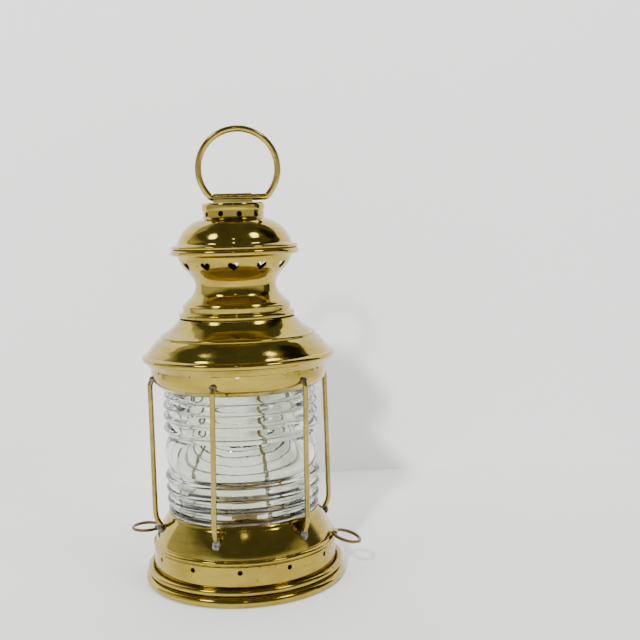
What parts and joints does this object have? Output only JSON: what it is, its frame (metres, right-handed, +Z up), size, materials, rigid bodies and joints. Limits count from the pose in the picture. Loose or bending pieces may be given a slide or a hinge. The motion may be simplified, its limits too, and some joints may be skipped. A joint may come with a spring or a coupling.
{
  "type": "railway lantern",
  "caption": "Small brass oil lantern with a ribbed glass lens, wire guards, heart-vented chimney, carrying ring and drop-out oil pan.",
  "frame": {"origin": "centre of the pan's foot, on the surface the lantern stands on", "axes": "+Z up along the lantern's axis, -Y towards the front, +X along the carrying ring's barrel"},
  "size_m": [0.1296, 0.112, 0.2506],
  "materials": {
    "shell_brass": "polished, lacquered, lightly tarnished",
    "guard_brass": "polished",
    "ring_brass": "polished",
    "loop_wire": "tarnished",
    "inner_brass": "satin, tarnished",
    "solder": "dull grey",
    "lens_glass": "clear pressed glass",
    "gasket_felt": "matte",
    "wick_cotton": "matte"
  },
  "bodies": {
    "lantern": {"barrel_saddle": "solder", "base_shell": "shell_brass", "chimney_body": "shell_brass", "chimney_dome": "shell_brass", "fresnel_lens": "lens_glass", "guard_wire_1": "guard_brass", "guard_wire_2": "guard_brass", "guard_wire_3": "guard_brass", "guard_wire_4": "guard_brass", "guard_wire_5": "guard_brass", "guard_wire_6": "guard_brass", "handle_barrel": "shell_brass", "lens_seat": "shell_brass", "lens_top_ring": "shell_brass", "loop_lug_left": "shell_brass", "loop_lug_right": "shell_brass", "lower_gasket": "gasket_felt", "lower_solder_1": "solder", "lower_solder_2": "solder", "lower_solder_3": "solder", "lower_solder_4": "solder", "lower_solder_5": "solder", "lower_solder_6": "solder", "roof_cone": "shell_brass", "smoke_baffle": "shell_brass", "upper_gasket": "gasket_felt", "upper_solder_1": "solder", "upper_solder_2": "solder", "upper_solder_3": "solder", "upper_solder_4": "solder", "upper_solder_5": "solder", "upper_solder_6": "solder", "vent_collar": "shell_brass", "vent_lid": "shell_brass", "vent_skirt": "shell_brass"},
    "carrying_ring": {"handle_ring": "ring_brass"},
    "loop_left": {"side_loop_left": "loop_wire"},
    "loop_right": {"side_loop_right": "loop_wire"},
    "pan": {"base_pan": "shell_brass", "oil_font": "inner_brass", "filler_neck": "inner_brass", "filler_cap": "inner_brass", "burner_body": "inner_brass", "burner_deflector": "inner_brass", "wick_tube": "inner_brass"},
    "wick_feed": {"wick_spindle": "inner_brass", "wick_wheel_left": "inner_brass", "wick_wheel_right": "inner_brass", "wick_knob": "inner_brass"},
    "wick": {"wick": "wick_cotton"}
  },
  "joints": [
    {"name": "carrying_ring_hinge", "type": "hinge", "parent": "lantern", "child": "carrying_ring", "pos_m": [0, 0, 0.21161], "axis": [1, 0, 0], "range_deg": [-96, 96]},
    {"name": "loop_left_hinge", "type": "hinge", "parent": "lantern", "child": "loop_left", "pos_m": [-0.04994, 0.01338, 0.0246], "axis": [-0.2588, -0.9659, 0], "range_deg": [-95, 80]},
    {"name": "loop_right_hinge", "type": "hinge", "parent": "lantern", "child": "loop_right", "pos_m": [0.04994, -0.01338, 0.0246], "axis": [0.2588, 0.9659, 0], "range_deg": [-78, 63]},
    {"name": "pan_drop", "type": "slide", "parent": "lantern", "child": "pan", "axis": [0, 0, -1], "range_m": [0, 0.065]},
    {"name": "wick_feed_turn", "type": "hinge", "parent": "pan", "child": "wick_feed", "pos_m": [0, 0.00495, 0.0286], "axis": [1, 0, 0], "range_deg": [-45, 60]},
    {"name": "wick_lift", "type": "slide", "parent": "pan", "child": "wick", "axis": [0, 0, 1], "range_m": [-0.0039, 0.0029]}
  ],
  "couplings": [
    {"joint": "wick_lift", "follows": "wick_feed_turn", "m_per_rad": -0.0036}
  ]
}
